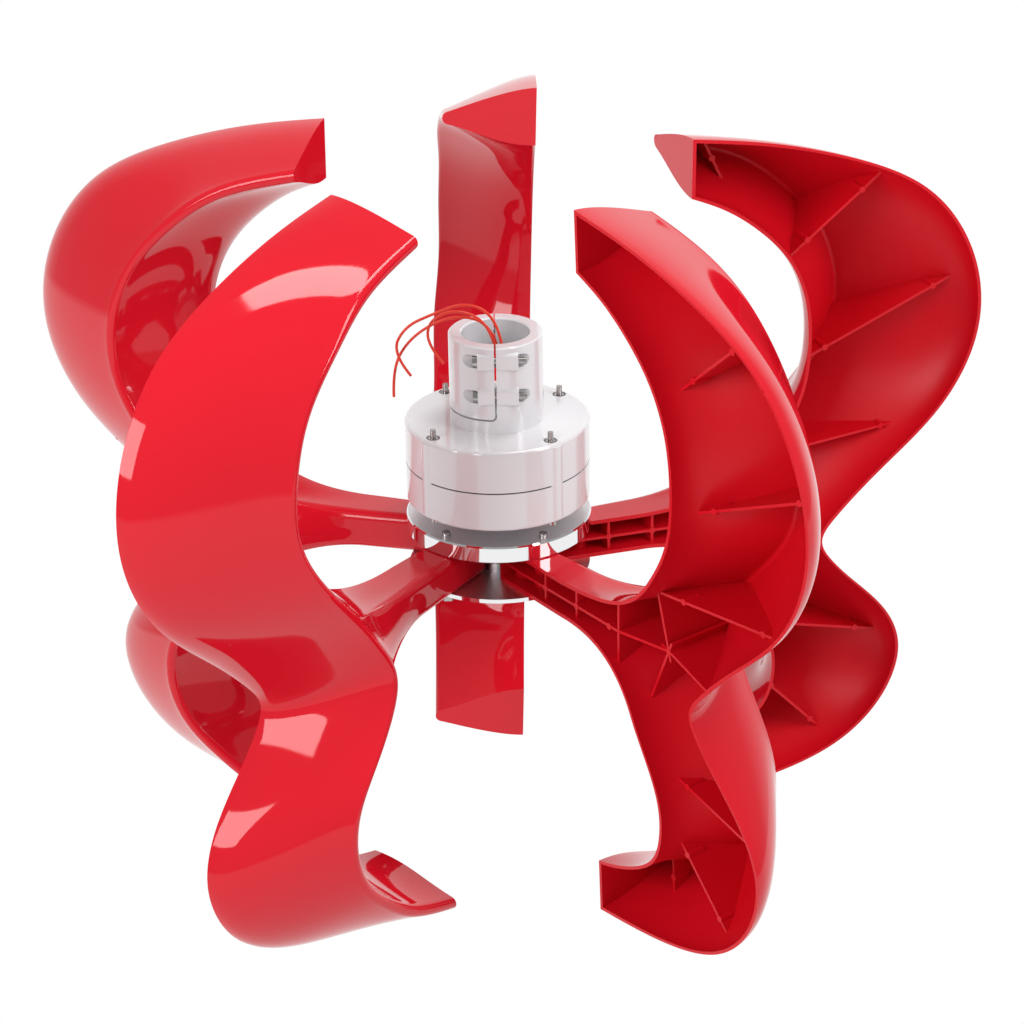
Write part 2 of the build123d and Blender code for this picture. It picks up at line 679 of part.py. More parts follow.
# ---------------------------------------------------------------- the whole turbine
save("rear_cover", rear_cover())
save("clamp_half", clamp_half())
save("clamp_screws", *clamp_screws())
save("front_housing", front_housing())
save("housing_gasket", housing_gasket())
save("housing_bolts", *housing_bolts())
save("housing_nuts", *housing_nuts())
save("cable_grommet", cable_grommet())
save("stator_core", stator_core())
save("stator_coils", *stator_coils())
save("rotor_core", rotor_core())
save("rotor_magnets", *rotor_magnets())
save("rotor_key", key_space(0))
save("shaft", shaft())
save("shaft_seal", shaft_seal())
for side, top in (("rear", REAR_BEARING_TOP), ("front", FRONT_BEARING_TOP)):
    outer_ring, inner_ring, ball_set, ball_cage = bearing(top)
    save(f"{side}_bearing_outer", outer_ring)
    save(f"{side}_bearing_inner", inner_ring)
    save(f"{side}_bearing_balls", *ball_set)
    save(f"{side}_bearing_cage", ball_cage)
save("hub_flange", hub_flange())
save("hub_spacer", hub_spacer())
save("hub_lower_disc", hub_lower_disc())
save("arm_bolts", *arm_bolts())
save("arm_washers", *arm_washers())
save("shaft_washer", shaft_washer())
save("shaft_nut", shaft_nut())
moulding = blade()
for index in range(BLADES):
    save(f"blade_{index + 1}", place_blade(moulding, index))
for index, route in enumerate(WIRE_ROUTES):
    save(f"wire_{index + 1}", wire(f"wire_{index + 1}", route))
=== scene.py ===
"""Looks of the small five-blade lantern wind turbine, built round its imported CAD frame."""
import bmesh
import bpy
import json
from math import atan2, cos, pi, radians, sin, tau
import numpy as np
from mathutils import Matrix, Vector
from mathutils.bvhtree import BVHTree


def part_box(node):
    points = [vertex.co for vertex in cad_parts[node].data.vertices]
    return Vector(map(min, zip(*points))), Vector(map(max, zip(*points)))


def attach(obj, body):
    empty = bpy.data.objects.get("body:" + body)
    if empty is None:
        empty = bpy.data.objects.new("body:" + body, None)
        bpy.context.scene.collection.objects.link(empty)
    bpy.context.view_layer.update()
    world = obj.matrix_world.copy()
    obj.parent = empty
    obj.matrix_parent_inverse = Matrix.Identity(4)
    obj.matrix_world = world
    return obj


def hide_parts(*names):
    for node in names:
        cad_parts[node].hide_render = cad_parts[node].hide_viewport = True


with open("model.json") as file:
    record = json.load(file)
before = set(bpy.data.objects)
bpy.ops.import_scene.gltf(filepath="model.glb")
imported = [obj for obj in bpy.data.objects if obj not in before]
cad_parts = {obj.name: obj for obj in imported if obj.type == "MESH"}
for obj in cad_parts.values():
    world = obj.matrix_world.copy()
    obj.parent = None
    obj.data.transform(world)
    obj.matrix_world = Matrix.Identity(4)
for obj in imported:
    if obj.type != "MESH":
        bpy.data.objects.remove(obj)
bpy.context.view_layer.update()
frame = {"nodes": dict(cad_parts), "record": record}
NODES = frame["nodes"]

MM = 0.001

# ---------------------------------------------------------------- blade dimensions, millimetres
BLADES = 5
BLADE_ANGLE = 19.7          # first blade, anticlockwise from +X seen from above
SKIN = 2.6
RIDGE_R = 5.0
RIB = 2.0
BOSS_R = 2.4                # ejector bosses on the ribs' edges
ARM_H = 29.0
ARM_ROOT = 26.0
ARM_SKIN = 3.0
ARM_LEAD = 7.0              # arm's smooth face, ahead of the radius, where the flare starts
ARM_ROOT_LEAD = 4.5
ARM_ROOT_TRAIL = -20.0
ARM_CORNER_R = 6.5
ARM_STRAIGHT = 100.0        # the arm starts to flare into the blade here
ARM_BOLT_RADII = (36.0, 58.5)
ARM_BOLT_T = -6.0
ARM_BOSS_R = 6.2
# (out, up) of the outer wall's rim and of the inner wall's rim, then (out, lead, up) of the ridge
STATIONS = (
    ((134.6, 301), (134.6, 257), (134.6, 32, 280)),
    ((198, 290), (162, 244), (191, 33, 264)),
    ((264, 270), (189, 224), (230, 35, 238)),
    ((319, 240), (211, 199), (260, 34, 205)),
    ((356, 188), (225, 165), (277.5, 35, 164)),
    ((364, 125), (228, 125), (277, 36, 118)),
    ((338, 67), (222, 89), (255, 41, 77)),
    ((291, 21), (204, 56), (224, 42.5, 41)),
    ((256, -14), (181, 25), (205, 45.5, 12)),
    ((246.5, -32), (167, 0), (199, 48.5, -4)),
    ((256, -50), (169, -28), (200.5, 50.5, -19)),
    ((274.5, -70), (179, -58), (211, 50.5, -42)),
    ((300.5, -98), (192, -83), (228.5, 49.5, -68)),
    ((315, -135), (206, -112), (243, 47.5, -95)),
    ((303.5, -176), (209, -140), (245.5, 46.5, -127)),
    ((273, -208), (201, -165), (233.5, 47, -158)),
    ((232, -226), (181, -182), (210, 47.5, -183)),
    ((188.5, -235), (159.5, -192), (183, 48.5, -203)),
    ((137.5, -241), (137.5, -199), (137.5, 50, -221)),
)
# (out, lead, up) of both ends of each rib's edge in the hollow side, and shares of it with bosses
ARM_JUNCTION = (200.5, -11, -6)
RIBS = (
    ((161, 2, 283), (178, 2.5, 247), (0.34,)),
    ((219, -19, 195.5), (288, -25, 253), (0.20, 0.79)),
    ((237, -16, 113.5), (352, -22.5, 164.5), (0.12, 0.855)),
    ((197, -12.5, 37), (313.5, -17, 50), (0.18, 0.88)),
    (ARM_JUNCTION, (191, -12, 32), (0.0,)),
    (ARM_JUNCTION, (260, -13, -26), ()),
    (ARM_JUNCTION, (179.5, -9, -52.5), ()),
    ((207.5, -8, -103.5), (302, -11, -126), (0.11, 0.84)),
    ((211.5, -7.5, -154.5), (259, -7.5, -204.5), (0.14, 0.86)),
    ((175, 17, -195), (175.5, 18, -226.5), (0.5,)),
)
ARM_RIB_EDGE = -20.0        # arm ribs' edges, behind the radius
ARM_CROSS_RIBS = (78.0, 112.5, 158.0)
LAST_BOSS_BACK = 10.0       # the outermost boss stands this far inside its rib
ARM_MIDDLE_RIB = ((30, ARM_RIB_EDGE, 0), (158, ARM_RIB_EDGE, -4.5))
NOTCH_STATIONS = (7.05, 11.05)     # the arm grows out of the inner wall between these

# how far a wall runs straight on from its rim and from the nose, as shares of its width
OUTER_PULLS = (0.32, 0.90)
INNER_PULLS = (0.40, 0.62)
# how strongly the flare leaves the arm and meets the blade, along the rims and along the web
FLARE_LEAVE = (1.36, 0.95)
FLARE_MEET = (1.0, 0.4)
ARM_RIM_OUT = 196.0         # the arm's open side reaches the blade's here
ARM_RIM_LIP = 1.5           # least depth of the arm ribs' edges inside the arm's rim
ARM_RIB_HALF_H = 12.0
BOSS_PROUD = 0.3
MOULDING_EDGE_R = 0.5

ROWS = 217
OUTER_COLUMNS = 30
NOSE_COLUMNS = 9
INNER_COLUMNS = 26
ARM_RINGS = 14
FLARE_RINGS = 26
CORNER_POINTS = 13


# ---------------------------------------------------------------- blade surface
def trailing(out, up):
    """How far the open side lies behind the blade's radius at a point of it."""
    return -22.6 - 0.0386 * out - 0.033 * up


def unit(vectors):
    return vectors / np.linalg.norm(vectors, axis=-1, keepdims=True)


def spline_rows(stations, count):
    """Natural cubic spline through the stations; returns the rows and each row's station number."""
    points = np.array([[c for point in station for c in point] for station in stations], float)
    steps = np.linalg.norm(np.diff(points, axis=0), axis=1)
    knots = np.concatenate([[0], np.cumsum(steps)])
    size = len(points)
    system = np.zeros((size, size))
    right = np.zeros_like(points)
    system[0, 0] = system[-1, -1] = 1
    for i in range(1, size - 1):
        before, after = steps[i - 1], steps[i]
        system[i, i - 1:i + 2] = before, 2 * (before + after), after
        right[i] = 6 * ((points[i + 1] - points[i]) / after - (points[i] - points[i - 1]) / before)
    bend = np.linalg.solve(system, right)
    rows, numbers = [], []
    for distance in np.linspace(0, knots[-1], count):
        i = int(np.clip(np.searchsorted(knots, distance) - 1, 0, size - 2))
        step = steps[i]
        b = (distance - knots[i]) / step
        a = 1 - b
        rows.append(a * points[i] + b * points[i + 1]
                    + ((a ** 3 - a) * bend[i] + (b ** 3 - b) * bend[i + 1]) * step ** 2 / 6)
        numbers.append(i + b)
    return np.array(rows), np.array(numbers)


def bezier(p0, p1, p2, p3, share):
    """Points of cubic curves, one curve per row and one point per share."""
    s = share[None, :, None]
    p0, p1, p2, p3 = (p[:, None, :] for p in (p0, p1, p2, p3))
    return (1 - s) ** 3 * p0 + 3 * (1 - s) ** 2 * s * p1 + 3 * (1 - s) * s ** 2 * p2 + s ** 3 * p3


def blade_grid(rows, inset):
    """Grid of points over the blade's skin: outer wall, rounded ridge, inner wall."""
    outer, inner = (np.stack([out, trailing(out, up), up], axis=1)
                    for out, up in (rows[:, 0:2].T, rows[:, 2:4].T))
    ridge = rows[:, 4:7]
    across = unit(inner - outer)
    forward = unit(ridge - (outer + inner) / 2)
    side = unit(across - forward * np.sum(across * forward, axis=1, keepdims=True))
    outer = outer + across * inset
    inner = inner - across * inset
    ridge = ridge - forward * (1.6 * inset)
    nose = RIDGE_R - 0.8 * inset
    centre = ridge - forward * nose
    ahead = np.array([0.0, 1.0, 0.0])

    def wall(rim, turn, rim_pull, nose_pull):
        """Control points of a wall from its rim to where it touches the nose."""
        chord = centre + side * (turn * nose) - rim
        run = unit(chord)
        run_forward = np.sum(run * forward, axis=1)
        run_side = np.sum(run * side, axis=1)
        angle = turn * np.arctan2(run_forward, -turn * run_side)
        touch = centre + nose * (np.cos(angle)[:, None] * forward + np.sin(angle)[:, None] * side)
        reach = touch - rim
        near_rim = rim + ahead * (rim_pull * reach[:, 1:2])
        near_nose = touch - run * ((1 - nose_pull) * np.linalg.norm(reach, axis=1, keepdims=True))
        return rim, near_rim, near_nose, touch, angle

    *outer_wall, start_angle = wall(outer, -1, *OUTER_PULLS)
    *inner_wall, end_angle = wall(inner, 1, *INNER_PULLS)
    share = np.linspace(0, 1, OUTER_COLUMNS)
    outside = bezier(*outer_wall, share * (1.25 - 0.25 * share))
    share = np.linspace(0, 1, INNER_COLUMNS)
    inside = bezier(*inner_wall, 1 - share * (0.75 + 0.25 * share))
    arc = []
    for share in np.linspace(0, 1, NOSE_COLUMNS + 2)[1:-1]:
        angle = start_angle + (end_angle - start_angle) * share
        arc.append(centre + nose * (np.cos(angle)[:, None] * forward + np.sin(angle)[:, None] * side))
    return np.concatenate([outside, np.stack(arc, axis=1), inside], axis=1)


def polyline_samples(points, count):
    """Evenly spaced points along a polyline."""
    points = np.array(points)
    lengths = np.concatenate([[0], np.cumsum(np.linalg.norm(np.diff(points, axis=0), axis=1))])
    places = np.linspace(0, lengths[-1], count)
    return np.stack([np.interp(places, lengths, points[:, k]) for k in range(3)], axis=1)


def arm_rim(out):
    """How far the arm's open side lies behind the blade's radius."""
    share = (out - ARM_ROOT) / (ARM_RIM_OUT - ARM_ROOT)
    return ARM_ROOT_TRAIL + (trailing(ARM_RIM_OUT, 0) - ARM_ROOT_TRAIL) * share


def arm_section(out, inset, flange_count, web_count):
    """U-shaped section of the arm: top flange from its rim, web, bottom flange to its rim."""
    rim = arm_rim(out)
    top = ARM_H / 2 - inset
    lead = ARM_ROOT_LEAD + (ARM_LEAD - ARM_ROOT_LEAD) * (out - ARM_ROOT) / (ARM_STRAIGHT - ARM_ROOT) - inset
    radius = ARM_CORNER_R - inset
    corner = [(lead - radius * (1 - sin(a)), top - radius * (1 - cos(a)))
              for a in np.linspace(0, pi / 2, CORNER_POINTS)]
    half = len(corner) // 2
    upper = [(out, rim, top)] + [(out, t, up) for t, up in corner[:half + 1]]
    middle = [(out, t, up) for t, up in corner[half:]]
    web = middle + [(out, t, -up) for _, t, up in reversed(middle)]
    lower = [(out, t, -up) for _, t, up in reversed(upper)]
    return np.concatenate([polyline_samples(upper, flange_count), polyline_samples(web, web_count)[1:-1],
                           polyline_samples(lower, flange_count)])


class Skin:
    """One skin of the moulding, outside or hollow side, as an indexed quad mesh."""

    def __init__(self, rows, numbers, inset, arm_inset):
        self.points = []
        self.faces = []
        grid = blade_grid(rows, inset)
        count, columns, _ = grid.shape
        first = columns - INNER_COLUMNS
        high, low = (int(np.argmin(abs(numbers - n))) for n in NOTCH_STATIONS)
        ids = np.full((count, columns), -1)
        for i in range(count):
            for j in range(columns):
                if not (high < i < low and j > first):
                    ids[i, j] = self.add(grid[i, j])
        for i in range(count - 1):
            for j in range(columns - 1):
                if not (high <= i < low and j >= first):
                    self.quad(ids[i, j], ids[i, j + 1], ids[i + 1, j + 1], ids[i + 1, j])
        path = ([(high, j) for j in range(columns - 1, first, -1)]
                + [(i, first) for i in range(high, low + 1)]
                + [(low, j) for j in range(first + 1, columns)])
        rings = self.arm_rings(grid, path, first, arm_inset)
        last = [ids[place] for place in path]
        ring_ids = [[self.add(point) for point in ring] for ring in rings] + [last]
        for ring, following in zip(ring_ids, ring_ids[1:]):
            for k in range(len(path) - 1):
                self.quad(ring[k], ring[k + 1], following[k + 1], following[k])
        self.root = ring_ids[0]
        self.top_tip = list(ids[0])
        self.bottom_tip = list(ids[-1])
        self.outer_rim = list(ids[:, 0])
        upper = list(ids[:high, -1])
        lower = list(ids[low + 1:, -1])
        self.inner_rim = (upper + [ring[0] for ring in reversed(ring_ids)]
                          + [ring[-1] for ring in ring_ids] + lower)

    def add(self, point):
        self.points.append(point)
        return len(self.points) - 1

    def quad(self, a, b, c, d):
        self.faces.append((a, b, c, d))

    def arm_rings(self, grid, path, first, inset):
        """Rings of the arm from its root, then of its flare up to the blade's own skin."""
        flange_count = INNER_COLUMNS
        web_count = len(path) - 2 * flange_count + 2
        straight = [arm_section(out, inset, flange_count, web_count)
                    for out in np.linspace(ARM_ROOT + inset, ARM_STRAIGHT, ARM_RINGS)]
        start = straight[-1]
        end = np.array([grid[place] for place in path])
        onward = []
        starts, ends = [], []
        middle = (len(path) - 1) / 2
        corner = flange_count - 1
        for k, (i, j) in enumerate(path):
            to_nose = unit(grid[i, j - 1] - grid[i, j])
            away = -1 if k < middle else 1
            along = unit(grid[i + away, j] - grid[i, j])
            from_end = min(k, len(path) - 1 - k)
            if from_end <= corner:
                turn = 0.5 * (from_end / corner) ** 2
            else:
                turn = 1 - 0.5 * (1 - (from_end - corner) / (middle - corner)) ** 2
            onward.append(unit(along * cos(turn * pi / 2) + to_nose * sin(turn * pi / 2)))
            starts.append(FLARE_LEAVE[0] + (FLARE_LEAVE[1] - FLARE_LEAVE[0]) * turn)
            ends.append(FLARE_MEET[0] + (FLARE_MEET[1] - FLARE_MEET[0]) * turn)
        chord = np.linalg.norm(end - start, axis=1, keepdims=True)
        leave = np.array([1.0, 0.0, 0.0]) * chord * np.array(starts)[:, None]
        arrive = np.array(onward) * chord * np.array(ends)[:, None]
        flare = []
        for s in np.linspace(0, 1, FLARE_RINGS + 1)[1:-1]:
            flare.append((2 * s ** 3 - 3 * s ** 2 + 1) * start + (s ** 3 - 2 * s ** 2 + s) * leave
                         + (3 * s ** 2 - 2 * s ** 3) * end + (s ** 3 - s ** 2) * arrive)
        return straight + flare


def cap_station(end, following):
    """Blade tip's station for the hollow side, moved in by the end wall's thickness."""
    out = end[0][0] + SKIN
    moved = []
    for place, onward in zip(end, following):
        share = (out - place[0]) / (onward[0] - place[0])
        moved.append(tuple(a + (b - a) * share for a, b in zip(place, onward)))
    return tuple(moved)


def moulding_shell():
    """Vertices and faces of the hollow moulding; faces come as (indices, is on the hollow side)."""
    rows, numbers = spline_rows(STATIONS, ROWS)
    outside = Skin(rows, numbers, 0.0, 0.0)
    hollow_stations = (cap_station(STATIONS[0], STATIONS[1]), *STATIONS[1:-1],
                       cap_station(STATIONS[-1], STATIONS[-2]))
    hollow_rows, _ = spline_rows(hollow_stations, ROWS)
    hollow = Skin(hollow_rows, numbers, SKIN, ARM_SKIN)
    shift = len(outside.points)
    faces = [(face, False) for face in outside.faces]
    faces += [(tuple(index + shift for index in reversed(face)), True) for face in hollow.faces]
    edges = [(outside.outer_rim, hollow.outer_rim), (outside.inner_rim, hollow.inner_rim)]
    for tip in (0, -1):
        edges.append(((outside.outer_rim[tip], outside.inner_rim[tip]),
                      (hollow.outer_rim[tip], hollow.inner_rim[tip])))
    for near, far in edges:
        for k in range(len(near) - 1):
            faces.append(((near[k], near[k + 1], far[k + 1] + shift, far[k] + shift), True))
    for skin, offset, is_hollow in ((outside, 0, False), (hollow, shift, True)):
        for loop in (skin.top_tip, skin.bottom_tip, skin.root):
            faces.append((tuple(index + offset for index in loop), is_hollow))
    return outside.points + hollow.points, faces, hollow


class Ribs:
    """Flat ribs and round posts inside the hollow side, each a closed piece that ends in the skin."""

    def __init__(self, hollow):
        self.tree = BVHTree.FromPolygons(hollow.points, hollow.faces + [tuple(hollow.top_tip),
                                                                        tuple(hollow.bottom_tip)])
        self.points = []
        self.faces = []

    def floor_depth(self, out, back, up, fallback):
        """How far in the hollow side's skin lies behind a point of the open side."""
        hit = self.tree.ray_cast(Vector((out, back, up)), Vector((0, 1, 0)))[0]
        return hit.y + SKIN / 2 if hit is not None else fallback

    def span(self, start, along, limit):
        """How far a rib's edge runs from a point until it is inside the wall that it meets."""
        found = self.tree.ray_cast(Vector(start), Vector(along))
        return limit if found[0] is None else min(found[3] + SKIN / 2, limit)

    def rib(self, start, end, reach=8.0, samples=40, back_at=None):
        """Plate whose edge runs between two (out, lead, up) points, on to the wall if within reach."""
        start, end = np.array(start, float), np.array(end, float)
        length = np.linalg.norm(end - start)
        along = (end - start) / length
        across = unit(np.array([-along[2], 0, along[0]])) * RIB / 2
        middle = (start + end) / 2
        before = self.span(middle, -along, length / 2 + reach)
        after = self.span(middle, along, length / 2 + reach)
        first = len(self.points)
        for k in range(samples + 1):
            place = middle + along * (-before + (before + after) * (1 - cos(pi * k / samples)) / 2)
            back = place[1] if back_at is None else max(place[1], back_at(place[0]))
            depth = self.floor_depth(place[0], back, place[2], back + 1)
            for side in (-1, 1):
                edge = place + side * across
                self.points.append((edge[0], back, edge[2]))
                self.points.append((edge[0], max(depth, back + 1), edge[2]))
        for k in range(samples):
            a = first + 4 * k
            b = a + 4
            self.faces += [(a, b, b + 1, a + 1), (a + 2, a + 3, b + 3, b + 2),
                           (a, a + 2, b + 2, b), (a + 1, b + 1, b + 3, a + 3)]
        last = first + 4 * samples
        self.faces += [(first, first + 1, first + 3, first + 2), (last, last + 2, last + 3, last + 1)]

    def post(self, out, up, radius, back, depth=14.0, sides=20):
        """Ejector post, slightly proud of the rib's edge."""
        deep = min(self.floor_depth(out, back, up, back + depth), back + depth)
        first = len(self.points)
        for level in (back, deep):
            for k in range(sides):
                turn = tau * k / sides
                self.points.append((out + radius * cos(turn), level, up + radius * sin(turn)))
        self.close_tube(first, sides)

    def upright(self, out, t, radius, low, high, sides=24):
        """Boss round a bolt that passes up through the arm."""
        first = len(self.points)
        for level in (low, high):
            for k in range(sides):
                turn = tau * k / sides
                self.points.append((out + radius * cos(turn), t + radius * sin(turn), level))
        self.close_tube(first, sides)

    def close_tube(self, first, sides):
        for k in range(sides):
            a, b = first + k, first + (k + 1) % sides
            self.faces.append((a, b, b + sides, a + sides))
        self.faces.append(tuple(range(first + sides - 1, first - 1, -1)))
        self.faces.append(tuple(range(first + sides, first + 2 * sides)))


def arm_back(out):
    """Level of the arm ribs' edges where the arm is too shallow for them: just inside its rim."""
    return arm_rim(out) + ARM_RIM_LIP


def moulding_ribs(hollow):
    ribs = Ribs(hollow)
    for start, end, bosses in RIBS:
        ribs.rib(start, end)
        for share in bosses:
            out, lead, up = (a + (b - a) * share for a, b in zip(start, end))
            ribs.post(out, up, BOSS_R, lead - BOSS_PROUD)
    ribs.rib(*ARM_MIDDLE_RIB, 0.0, back_at=arm_back)
    ribs.rib(ARM_MIDDLE_RIB[1], ARM_JUNCTION, 1.0)
    middle_start, middle_end = ARM_MIDDLE_RIB
    for out in ARM_CROSS_RIBS:
        share = (out - middle_start[0]) / (middle_end[0] - middle_start[0])
        up = middle_start[2] + (middle_end[2] - middle_start[2]) * share
        ribs.rib((out, ARM_RIB_EDGE, -ARM_RIB_HALF_H), (out, ARM_RIB_EDGE, ARM_RIB_HALF_H), 40.0)
        boss_out = out if out < ARM_CROSS_RIBS[-1] else out - LAST_BOSS_BACK
        ribs.post(boss_out, up, BOSS_R, ARM_RIB_EDGE - BOSS_PROUD)
    for out in ARM_BOLT_RADII:
        ribs.upright(out, ARM_BOLT_T, ARM_BOSS_R, -ARM_H / 2 + 1, ARM_H / 2 - 1)
    return ribs


def moulding_mesh():
    """One blade with its arm and ribs, edges rounded, as a mesh in metres on the +X radius."""
    points, faces, hollow = moulding_shell()
    ribs = moulding_ribs(hollow)
    shift = len(points)
    points = points + ribs.points
    faces += [(tuple(index + shift for index in face), True) for face in ribs.faces]
    mesh = bpy.data.meshes.new("moulding")
    mesh.from_pydata([tuple(float(c) * MM for c in point) for point in points], [],
                     [face for face, _ in faces])
    mesh.polygons.foreach_set("material_index", [int(is_hollow) for _, is_hollow in faces])
    shell = bmesh.new()
    shell.from_mesh(mesh)
    bmesh.ops.recalc_face_normals(shell, faces=shell.faces)
    for face in shell.faces:
        face.smooth = True
    shell.to_mesh(mesh)
    shell.free()
    draft = bpy.data.objects.new("moulding_draft", mesh)
    bpy.context.collection.objects.link(draft)
    mesh.materials.append(red_gloss())
    mesh.materials.append(red_satin())
    rounding = draft.modifiers.new("rounding", "BEVEL")
    rounding.width = MOULDING_EDGE_R * MM
    rounding.segments = 2
    rounding.limit_method = "ANGLE"
    rounding.angle_limit = radians(38)
    draft.modifiers.new("normals", "WEIGHTED_NORMAL").keep_sharp = True
    bpy.context.view_layer.update()
    finished = bpy.data.meshes.new_from_object(draft.evaluated_get(bpy.context.evaluated_depsgraph_get()))
    bpy.data.objects.remove(draft)
    return finished


# ---------------------------------------------------------------- materials
class Paint:
    """A Principled material whose colour, roughness and relief get their detail from nodes."""

    def __init__(self, name, color, roughness, **sockets):
        self.material = bpy.data.materials.new(name)
        self.material.use_nodes = True
        self.tree = self.material.node_tree
        self.shader = self.tree.nodes["Principled BSDF"]
        self.shader.inputs["Base Color"].default_value = (*color, 1)
        self.shader.inputs["Roughness"].default_value = roughness
        for socket, value in sockets.items():
            self.shader.inputs[socket.replace("_", " ")].default_value = value
        self.place = self.node("ShaderNodeTexCoord").outputs["Object"]
        self.relief = None

    def node(self, kind, **inputs):
        made = self.tree.nodes.new(kind)
        for name, value in inputs.items():
            made.inputs[name.replace("_", " ")].default_value = value
        return made

    def link(self, source, target):
        self.tree.links.new(source, target)

    def noise(self, scale, detail=3.0, stretch=None):
        """Noise of so many grains per metre, optionally squeezed along an axis."""
        made = self.node("ShaderNodeTexNoise", Scale=scale, Detail=detail)
        place = self.place
        if stretch is not None:
            mapping = self.node("ShaderNodeMapping", Scale=stretch)
            self.link(place, mapping.inputs["Vector"])
            place = mapping.outputs["Vector"]
        self.link(place, made.inputs["Vector"])
        return made.outputs["Fac"]

    def vary_color(self, noise, dark, light):
        ramp = self.node("ShaderNodeMix")
        ramp.data_type = "RGBA"
        self.link(noise, ramp.inputs["Factor"])
        ramp.inputs[6].default_value = (*dark, 1)
        ramp.inputs[7].default_value = (*light, 1)
        self.link(ramp.outputs[2], self.shader.inputs["Base Color"])

    def vary_roughness(self, noise, low, high):
        ramp = self.node("ShaderNodeMapRange", To_Min=low, To_Max=high)
        self.link(noise, ramp.inputs["Value"])
        self.link(ramp.outputs["Result"], self.shader.inputs["Roughness"])

    def bump(self, height, distance, strength=1.0):
        made = self.node("ShaderNodeBump", Strength=strength, Distance=distance)
        self.link(height, made.inputs["Height"])
        if self.relief is not None:
            self.link(self.relief, made.inputs["Normal"])
        self.relief = made.outputs["Normal"]
        self.link(self.relief, self.shader.inputs["Normal"])


def red_gloss():
    paint = Paint("red_gloss", (0.60, 0.007, 0.018), 0.05, IOR=1.42)
    paint.vary_color(paint.noise(9, 2), (0.58, 0.006, 0.017), (0.63, 0.008, 0.020))
    paint.vary_roughness(paint.noise(40, 4), 0.04, 0.07)
    paint.bump(paint.noise(14, 1), 0.0010, 0.22)
    return paint.material


def red_satin():
    paint = Paint("red_satin", (0.60, 0.004, 0.013), 0.34, IOR=1.32)
    paint.vary_color(paint.noise(12, 3), (0.57, 0.003, 0.011), (0.63, 0.005, 0.015))
    paint.vary_roughness(paint.noise(60, 4), 0.28, 0.40)
    paint.bump(paint.noise(2500, 2), 0.00006, 0.4)
    return paint.material


def white_paint():
    paint = Paint("white_paint", (0.72, 0.75, 0.77), 0.22, Coat_Weight=1.0, Coat_Roughness=0.03)
    paint.vary_color(paint.noise(25, 3), (0.70, 0.73, 0.75), (0.74, 0.77, 0.79))
    paint.vary_roughness(paint.noise(120, 4), 0.18, 0.30)
    paint.bump(paint.noise(420, 2), 0.00012, 0.35)
    return paint.material


def metal(name, color, rough_low, rough_high, grain=300.0, stretch=None, relief=0.00003):
    paint = Paint(name, color, rough_low, Metallic=1.0)
    noise = paint.noise(grain, 4, stretch)
    paint.vary_roughness(noise, rough_low, rough_high)
    paint.vary_color(paint.noise(80, 3), tuple(c * 0.93 for c in color), color)
    paint.bump(noise, relief, 0.5)
    return paint.material


def polished_aluminium():
    """Mirror polish with faint turning rings; the flat faces are duller than the rims."""
    paint = Paint("polished_aluminium", (0.86, 0.86, 0.87), 0.04, Metallic=1.0)
    rings = paint.node("ShaderNodeTexWave", Scale=900.0, Distortion=0.4, Detail=2.0)
    rings.wave_type = "RINGS"
    rings.rings_direction = "Z"
    paint.link(paint.place, rings.inputs["Vector"])
    paint.bump(rings.outputs["Fac"], 0.00001, 0.15)
    facing = paint.node("ShaderNodeSeparateXYZ")
    paint.link(paint.node("ShaderNodeTexCoord").outputs["Normal"], facing.inputs["Vector"])
    dull = paint.node("ShaderNodeMapRange", From_Min=0.9, From_Max=1.0, To_Min=0.04, To_Max=0.38)
    paint.link(facing.outputs["Z"], dull.inputs["Value"])
    paint.link(dull.outputs["Result"], paint.shader.inputs["Roughness"])
    return paint.material


def rubber(name, color, roughness):
    paint = Paint(name, color, roughness)
    paint.vary_color(paint.noise(200, 3), tuple(c * 0.8 for c in color), color)
    paint.bump(paint.noise(1500, 3), 0.00005, 0.4)
    return paint.material


def silicone():
    paint = Paint("lead_silicone", (0.74, 0.045, 0.02), 0.34, IOR=1.41)
    paint.vary_color(paint.noise(150, 3), (0.68, 0.038, 0.018), (0.78, 0.055, 0.024))
    paint.vary_roughness(paint.noise(500, 3), 0.28, 0.42)
    return paint.material


def laminations():
    """Edges of stacked sheet steel under varnish."""
    paint = Paint("lamination_steel", (0.33, 0.33, 0.35), 0.4, Metallic=0.8)
    sheets = paint.node("ShaderNodeTexWave", Scale=1000.0)
    sheets.bands_direction = "Z"
    paint.link(paint.place, sheets.inputs["Vector"])
    paint.bump(sheets.outputs["Fac"], 0.0001, 0.5)
    paint.vary_roughness(paint.noise(200, 3), 0.3, 0.5)
    return paint.material


def paint_cad_nodes():
    """Gives every carried-over CAD node the material of its slot."""
    finishes = {
        "white_paint": white_paint(),
        "polished_aluminium": polished_aluminium(),
        "fastener_steel": metal("fastener_steel", (0.46, 0.45, 0.44), 0.12, 0.28, 600.0),
        "shaft_steel": metal("shaft_steel", (0.48, 0.48, 0.49), 0.16, 0.30, 400.0, (1, 1, 12)),
        "bearing_steel": metal("bearing_steel", (0.60, 0.60, 0.62), 0.06, 0.16, 500.0),
        "magnet_nickel": metal("magnet_nickel", (0.52, 0.51, 0.50), 0.15, 0.28, 300.0),
        "copper_enamel": metal("copper_enamel", (0.55, 0.22, 0.09), 0.25, 0.45, 900.0, (1, 1, 6), 0.0002),
        "cage_plastic": rubber("cage_plastic", (0.70, 0.62, 0.42), 0.4),
        "black_rubber": rubber("black_rubber", (0.022, 0.022, 0.023), 0.55),
        "lamination_steel": laminations(),
    }
    for part in frame["record"]["subparts"]:
        node, slot = part["node"], part["material_slot"]
        if slot in finishes:
            data = NODES[node].data
            data.materials.clear()
            data.materials.append(finishes[slot])


